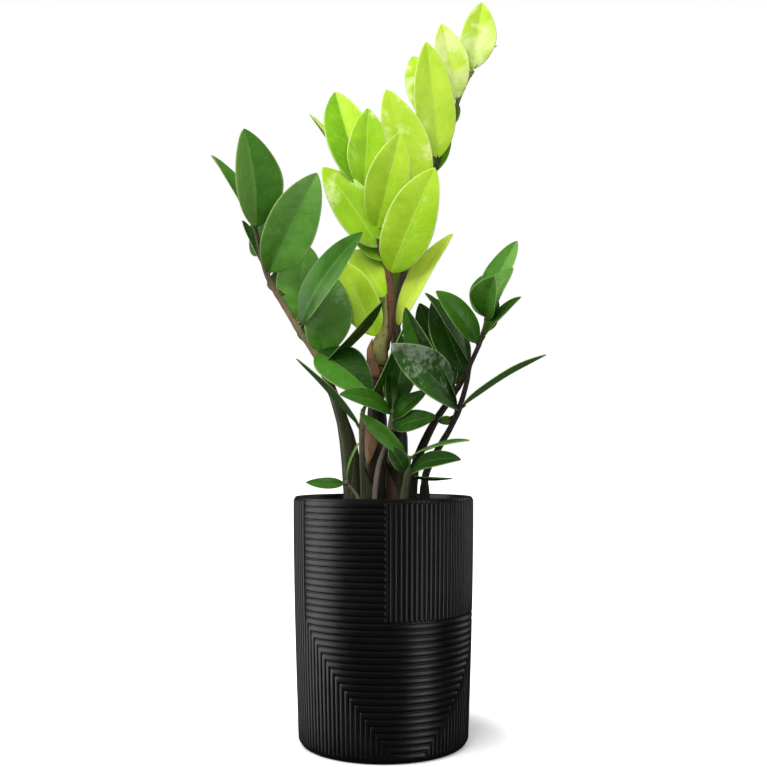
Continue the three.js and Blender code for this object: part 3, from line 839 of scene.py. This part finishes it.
# A short stalk from the stem's middle line to the foot of a blade.
def growStalk(bm, foot, along, length):
    s = stalkShape
    stops = []
    for i in range(s["steps"] + 1):
        share = i / s["steps"]
        swell = s["radius"] * (s["footShare"] - s["taper"] * share + s["flare"] * (1 - share) ** 3)
        stops.append((foot + along * length * share, along, swell))
    layTube(bm, stops, s["sides"])


def growSheath(bm, points, base, point, heading, reach, gap):
    s = sheathShape

    def skin(u, v):
        centre, radius = stemAtHeight(points, base + (point - base) * v)
        half = reach * max(s["pointShare"], 1 - v ** s["taper"])
        angle = math.radians(heading + half * (2 * u - 1))
        out = radius + gap * (1 + s["flare"] * v) + s["crease"] * math.sin(7 * u + 5 * v)
        return centre + Vector((math.sin(angle), -math.cos(angle), 0)) * out

    _, faces = layGrid(bm, s["acrossSteps"], s["alongSteps"], skin)
    middle = stemAtHeight(points, (base + point) / 2)[0] * mm
    faceTowards(bm, faces, lambda centre: Vector((centre.x - middle.x, centre.y - middle.y, 0)))


# Half a blade's width as a share of its greatest, from its foot (0) to its tip (1).
def leafOutline(s):
    rise, fall = leafShape["rise"], leafShape["fall"]
    widest = rise / (rise + fall)
    return (s / widest) ** rise * ((1 - s) / (1 - widest)) ** fall


# The frame of a blade: foot on the stem's middle line, direction, length, way of its upper face,
# side, and where on the length the blade starts.
def bladeFrame(points, row):
    foot, radius = stemAtHeight(points, row[0])
    along = Vector(row[1:4]) - foot
    length = along.length
    along.normalize()
    face = (Vector((0, -1, 0)) + along * along.y).normalized()
    turn = math.radians(row[5])
    face = face * math.cos(turn) + along.cross(face) * math.sin(turn)
    return foot, along, length, face, face.cross(along), (radius + stalkShape["length"]) / length


def growLeaflet(bm, layers, points, row, rng):
    shape = leafShape
    uvLayer, *markLayers = layers
    foot, along, length, face, side, start = bladeFrame(points, row)
    width, _, arch, fold, twist, *marks = (*row[4:], 0.0, 0.0)[:8]
    phase = rng.uniform(0, 6.28)
    curl, bow, fuller = (rng.uniform(-shape[key], shape[key]) for key in ("curl", "bow", "fuller"))
    small = min(1.0, width / shape["fullWidth"])

    # Stops lie closer together at the foot and at the tip.
    def stopAt(v):
        even = shape["evenStops"]
        return even * v + (1 - even) * (0.5 - 0.5 * math.cos(math.pi * v))

    def wave(kind, s, across):
        height, radians, shift = shape[kind]
        return height * math.sin(phase + radians * s + shift * (across > 0))

    def skin(u, v):
        across, s = 2 * u - 1, stopAt(v)
        edge, place = abs(across), start + s * (1 - start)
        uneven = 1 + wave("outlineWave", s, across) + fuller * across
        least = shape["tipHalf"] if s > 0.5 else stalkShape["radius"]
        half = max(least, width / 2 * leafOutline(s) * uneven)
        roll = math.radians(twist * (0.5 - s) + curl * s * s)
        out = side * math.cos(roll) + face * math.sin(roll)
        above = face * math.cos(roll) - side * math.sin(roll)
        hump = length * 4 * place * (1 - place)
        spine = foot + along * (place * length) + face * (arch * hump) + side * (bow * hump)
        lift = fold * half * edge ** shape["foldPower"] + shape["dome"] * half * math.sin(math.pi * edge)
        groove = shape["groove"] * math.exp(-(edge / shape["grooveWidth"]) ** 2)
        lift -= small * groove * min(1.0, shape["grooveFade"] * (1 - s))
        ripple = wave("ripple", s, across) * edge ** 3
        lift += small * ripple * min(1.0, shape["rippleFade"] * (1 - s))
        return spine + out * (across * half) + above * lift

    spots, faces = layGrid(bm, shape["acrossSteps"], shape["alongSteps"], skin)
    for panel in faces:
        for loop in panel.loops:
            u, v = spots[loop.vert]
            loop[uvLayer].uv = (u, stopAt(v))
    for vert in spots:
        for layer, mark in zip(markLayers, marks):
            vert[layer] = mark
    faceTowards(bm, faces, lambda centre: face)


def buildLeafMaterial(palette, part):
    look, marks = leafPalettes[palette], leafMarks
    scales = marks["scales"]
    upper = part == "top"
    material, tree, shader = newMaterial(f"{palette}Leaf{part.capitalize()}", **{
        "Specular IOR Level": marks["specular"] if upper else 0.3,
        "Coat Weight": look["coat"] if upper else 0.0,
        "Coat Roughness": 0.2,
        "Subsurface Weight": look["through"],
        "Subsurface Radius": marks["glowColour"],
        "Subsurface Scale": marks["glowDepth"],
        "Roughness": 0.5,
    })
    place = objectPlace(tree)
    uv = addNode(tree, "ShaderNodeTexCoord").outputs["UV"]
    split = addNode(tree, "ShaderNodeSeparateXYZ", None, {"Vector": uv})
    u, v = split.outputs["X"], split.outputs["Y"]
    # Each leaflet's tone, partly painted light and shade, its painted half light, and its bloom, which also
    # calls up painted glints.
    tone, side, bloomAndSheen = (
        addNode(tree, "ShaderNodeAttribute", {"attribute_name": one}).outputs["Fac"]
        for one in leafShape["attributes"]
    )
    edge = mathNode(tree, "MULTIPLY", mathNode(tree, "ABSOLUTE", mathNode(tree, "SUBTRACT", u, 0.5)), 2.0)
    # Painted light and shade: the half of the blade on the left is drawn paler, or darker, by the leaflet's
    # side value, as if light fell more on one half.
    paintedHalfLight = mathNode(tree, "MULTIPLY", side, spread(tree, u, 0.44, 0.56, -0.5, 0.5))

    wander = noiseNode(tree, place, scales["wander"], 2.0)
    saw = mathNode(tree, "FRACT", weighed(tree, *zip((v, edge, wander), marks["veins"])))
    fromLine = mathNode(tree, "ABSOLUTE", mathNode(tree, "SUBTRACT", saw, 0.5))
    inner = spread(tree, edge, 0.55, 0.95, 1.0, 0.0)
    sideVein = spread(tree, fromLine, 0.0, marks["veinWidth"], 1.0, 0.0)
    sideVein = mathNode(tree, "MULTIPLY", sideVein, inner)
    midrib = spread(tree, edge, 0.01, 0.06, 1.0, 0.0)

    broad = noiseNode(tree, place, scales["broad"], 2.0)
    blotch = noiseNode(tree, place, scales["blotch"], 5.0, 0.6, 0.6)
    # Painted shade: each blade is drawn darker towards its foot.
    stray, paintedFootShade = marks["blotch"], spread(tree, v, 0.0, 0.35, 1.0, 0.0)
    # The blade's shade: its tone, which is partly its own colour and partly painted light and shade, the
    # painted half light, and random broad and blotchy tone.
    shade = weighed(tree, (tone, 1.0), (paintedHalfLight, 1.0), (broad, 0.5), (blotch, stray))
    shade = weighed(tree, (shade, 1.0), (-0.25 - 0.5 * stray, 1.0), (paintedFootShade, -0.2))
    if upper:
        colour = rampNode(tree, shade, [(0.0, look["deep"]), (0.5, look["middle"]), (1.0, look["pale"])])
        # Pale waxy patches: bleached patches on lime blades, and painted sheen on dark ones.
        wax = noiseNode(tree, place, scales["wax"], 3.0, 0.6, 0.4)
        bleachAndSheen = weighed(tree, (wax, 1.0), (tone, 0.4), (edge, 0.08), (bloomAndSheen, look["bloomed"]))
        bleachAndSheen = spread(tree, bleachAndSheen, look["patchFrom"], look["patchFrom"] + 0.2, 0.0, 0.7)
        # Glints are painted highlights: pale specks of gloss put into the colour, more on one half of the
        # blade and fewer towards its foot.
        paintedGlint = noiseNode(tree, place, scales["paintedGlint"], 4.0, 0.7)
        paintedGlint = weighed(tree, (paintedGlint, 1.0), (wax, 0.5), (bloomAndSheen, 0.5))
        towardsFoot = spread(tree, v, 0.3, 0.75, -0.2, 0.0)
        paintedGlint = weighed(tree, (paintedGlint, 1.0), (spread(tree, u, 0.4, 0.7, 0.0, -0.16), 1.0), (towardsFoot, 1.0))
        bleachAndSheen = mathNode(tree, "MAXIMUM", bleachAndSheen, spread(tree, paintedGlint, look["glintFrom"], 1.15, 0.0, 0.75))
        colour = mixColour(tree, bleachAndSheen, colour, look["bleachAndSheen"])
    else:
        base = look["under" if part == "under" else "margin"]
        colour = mixColour(tree, shade, tuple(c * 0.55 for c in base), base)
    if part != "edge":
        margin = spread(tree, edge, marks["marginFrom"], 1.0, 0.0, 0.7)
        colour = mixColour(tree, margin, colour, look["margin"])
        for line, strength in ((sideVein, marks["veinStrength"]), (midrib, marks["midribStrength"])):
            colour = mixColour(tree, mathNode(tree, "MULTIPLY", line, strength), colour, look["vein"])
        swell = noiseNode(tree, place, scales["swell"], 2.0)
        relief = weighed(tree, (sideVein, -0.25), (midrib, -0.5), (blotch, 0.9), (swell, 2.2))
        bumpNode(tree, shader, relief, marks["relief"], 0.8)
        gloss = marks["upperGloss" if upper else "underGloss"]
        satin = spread(tree, noiseNode(tree, place, scales["satin"], 4.0), 0.3, 0.7, *gloss)
        tree.links.new(satin, shader.inputs["Roughness"])
    paint(tree, shader, colour)
    return material


def buildStemMaterial(name, stops):
    material, tree, shader = newMaterial(name, **{"Roughness": 0.5, "Specular IOR Level": 0.25})
    s, place = stemShape, objectPlace(tree)
    height = addNode(tree, "ShaderNodeSeparateXYZ", None, {"Vector": place}).outputs["Z"]
    low, high = stops[0][0], stops[-1][0]
    reach = {"From Min": low * mm, "From Max": high * mm}
    drift = noiseNode(tree, place, s["scales"]["drift"])
    drifting = weighed(tree, (height, 1.0), (drift, s["drift"]), (-s["drift"] / 2, 1.0))
    run = addNode(tree, "ShaderNodeMapRange", None, {"Value": drifting, **reach}).outputs["Result"]
    colour = rampNode(tree, run, [((z - low) / (high - low), barkColours[shade]) for z, shade in stops])
    squeeze = {"Vector": place, "Scale": (1.0, 1.0, s["stretch"])}
    stretched = addNode(tree, "ShaderNodeMapping", None, squeeze).outputs[0]
    mottle = noiseNode(tree, stretched, s["scales"]["mottle"], 4.0, 0.65)
    colour = mixColour(tree, spread(tree, mottle, 0.52, 0.7, 0.0, 0.6), colour, s["mottle"])
    flecks = noiseNode(tree, stretched, s["scales"]["flecks"], 2.0)
    colour = mixColour(tree, spread(tree, flecks, 0.62, 0.72, 0.0, 0.25), colour, s["fleck"])
    paint(tree, shader, colour)
    bumpNode(tree, shader, mottle, s["relief"], 0.7)
    return material


# Thickens an open sheet to both sides.
def thicken(piece, thickness):
    shell = piece.modifiers.new("thickness", "SOLIDIFY")
    shell.thickness = thickness * mm
    shell.offset = 0
    return shell


def buildFronds():
    parts = ("top", "under", "edge")
    leafFinish = {name: [buildLeafMaterial(name, part) for part in parts] for name in leafPalettes}
    rng = random.Random(leafShape["seed"])
    for name, frond in fronds.items():
        points, palette, rows = frond["stem"], frond["palette"], frond["leaflets"]
        slotName = "leaf_lime" if palette == "lime" else "leaf_dark"
        stems = bmesh.new()
        growStem(stems, points, [row[0] for row in rows])
        for row in rows:
            foot, along, length, _, _, start = bladeFrame(points, row)
            growStalk(stems, foot, along, start * length + stalkShape["overlap"])
        bmesh.ops.recalc_face_normals(stems, faces=stems.faces)
        stemFinish = buildStemMaterial(f"{name}Stem", frond["bark"])
        dress(finishMesh(stems, f"{name}_stem", [stemFinish]), slotName, name)

        blades = bmesh.new()
        floats = [blades.verts.layers.float.new(one) for one in leafShape["attributes"]]
        layers = (blades.loops.layers.uv.new("UVMap"), *floats)
        for row in rows:
            growLeaflet(blades, layers, points, row, rng)
        leaves = finishMesh(blades, f"{name}_leaflets", leafFinish[palette])
        shell = thicken(leaves, leafShape["thickness"])
        shell.material_offset = 1
        shell.material_offset_rim = 2
        soft = leaves.modifiers.new("rounding", "SUBSURF")
        soft.levels = soft.render_levels = 1
        dress(leaves, slotName, name)
        print(f"{name} done")


def buildSheaths():
    for number, (name, base, point, heading, reach, gap, shade) in enumerate(sheaths):
        bm = bmesh.new()
        growSheath(bm, fronds[name]["stem"], base, point, heading, reach, gap)
        finish = buildStemMaterial(f"sheath{number}", [(base, shade), (point, shade)])
        scale = finishMesh(bm, f"{name}_sheath_{number}", [finish])
        thicken(scale, sheathShape["thickness"])
        dress(scale, "leaf_lime" if fronds[name]["palette"] == "lime" else "leaf_dark")
    print("sheaths done")


# The rhizome: the CAD node keeps its shape and gets a skin.
rhizome = {
    "skin": [(0.3, (0.2, 0.12, 0.05)), (0.7, (0.55, 0.4, 0.2))],
    "scales": {"skin": 60.0, "grain": 260.0},
    "relief": 0.0008,
}


def dressRhizome():
    material, tree, shader = newMaterial("rhizomeSkin", **{"Roughness": 0.75})
    place, scales = objectPlace(tree), rhizome["scales"]
    paint(tree, shader, rampNode(tree, noiseNode(tree, place, scales["skin"], 4.0), rhizome["skin"]))
    bumpNode(tree, shader, noiseNode(tree, place, scales["grain"]), rhizome["relief"], 0.6)
    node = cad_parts["rhizome"]
    node.data.materials.clear()
    node.data.materials.append(material)


# The studio: camera, floor and light.
studio = {
    "cameraBack": 0.716,
    "cameraHeight": 0.1949,
    "pitchUp": 4.35,
    "lens": 47.17,
    "sensor": 36.0,
    "clipStart": 0.01,
    "floorSize": 12.0,  # half its side
    "glowFrom": (0.072, 0.14),  # radii where the floor's glow starts to rise and where it is full
    "glow": (0.3, 1.2),
    "aimHeight": 0.26,
    "roomLight": 0.32,
    "mirrored": (0.04, 0.25),  # the backdrop's strength where it mirrors, low down and overhead
    "overhead": (0.2, 0.8),  # the rise of a ray where that starts to change and where it ends
}

# Each lamp: degrees from the front and positive towards +X, distance, height, width, tall, watts,
# kind. A matte lamp only lights surfaces and a gloss lamp only mirrors in them.
lamps = {
    "overheadKey": (-30, 0.95, 1.15, 0.9, 0.9, 19.0, "matte"),
    "frontFill": (5, 1.4, 0.55, 1.2, 1.0, 6.0, "matte"),
    "leftSoftbox": (-87, 0.95, 0.3, 0.85, 1.2, 10.8, "gloss"),
    "rightStrip": (50, 1.15, 0.0, 0.5, 0.8, 4.5, "gloss"),
    "backStrip": (122, 1.15, 0.3, 0.6, 0.8, 1.3, "gloss"),
}


def buildFloor():
    material, tree, shader = newMaterial("whiteSweep", **{
        "Base Color": (0.86, 0.86, 0.86, 1),
        "Roughness": 0.9,
        "Specular IOR Level": 0.1,
        "Emission Color": (1, 1, 1, 1),
    })
    away = addNode(tree, "ShaderNodeVectorMath", {"operation": "LENGTH"}, {0: objectPlace(tree)})
    glow = spread(tree, away.outputs["Value"], *studio["glowFrom"], *studio["glow"])
    tree.links.new(glow, shader.inputs["Emission Strength"])
    bm = bmesh.new()
    bmesh.ops.create_grid(bm, x_segments=2, y_segments=2, size=studio["floorSize"])
    sweep = finishMesh(bm, "studio_floor", [material])
    sweep.visible_diffuse = False
    sweep.visible_glossy = False


def buildStudio():
    scene = bpy.context.scene
    scene.view_settings.view_transform = "Standard"
    camera = bpy.data.objects.new("camera", bpy.data.cameras.new("camera"))
    camera.data.lens = studio["lens"]
    camera.data.sensor_width = studio["sensor"]
    camera.data.clip_start = studio["clipStart"]
    camera.location = (0, -studio["cameraBack"], studio["cameraHeight"])
    camera.rotation_euler = (math.radians(90 + studio["pitchUp"]), 0, 0)
    scene.collection.objects.link(camera)
    scene.camera = camera
    buildFloor()

    for name, (azimuth, distance, height, width, tall, watts, kind) in lamps.items():
        lamp = bpy.data.lights.new(name, "AREA")
        lamp.shape = "RECTANGLE"
        lamp.size, lamp.size_y, lamp.energy = width, tall, watts
        holder = bpy.data.objects.new(name, lamp)
        turn = math.radians(azimuth)
        holder.location = (distance * math.sin(turn), -distance * math.cos(turn), height)
        aim = Vector((0, 0, studio["aimHeight"])) - holder.location
        holder.rotation_euler = aim.to_track_quat("-Z", "Y").to_euler()
        holder.visible_camera = False
        holder.visible_diffuse = kind == "matte"
        holder.visible_glossy = kind == "gloss"
        scene.collection.objects.link(holder)

    # The backdrop is white to the eye, dim as a source of light and dimmer still where it mirrors.
    world = bpy.data.worlds.new("studioWorld")
    world.use_nodes = True
    scene.world = world
    tree = world.node_tree
    backdrop = tree.nodes["Background"]
    backdrop.inputs["Color"].default_value = (1, 1, 1, 1)
    ray = addNode(tree, "ShaderNodeLightPath")
    towards = addNode(tree, "ShaderNodeTexCoord").outputs["Generated"]
    rise = addNode(tree, "ShaderNodeSeparateXYZ", None, {"Vector": towards}).outputs["Z"]
    sheen = spread(tree, rise, *studio["overhead"], *studio["mirrored"])
    lit = {"Factor": ray.outputs["Is Glossy Ray"], "A": studio["roomLight"], "B": sheen}
    light = addNode(tree, "ShaderNodeMix", None, lit).outputs[0]
    shown = {"Factor": ray.outputs["Is Camera Ray"], "A": light, "B": 1.0}
    strength = addNode(tree, "ShaderNodeMix", None, shown).outputs[0]
    tree.links.new(strength, backdrop.inputs["Strength"])


buildStudio()
buildPlanter()
buildSoil()
buildFronds()
buildSheaths()
dressRhizome()
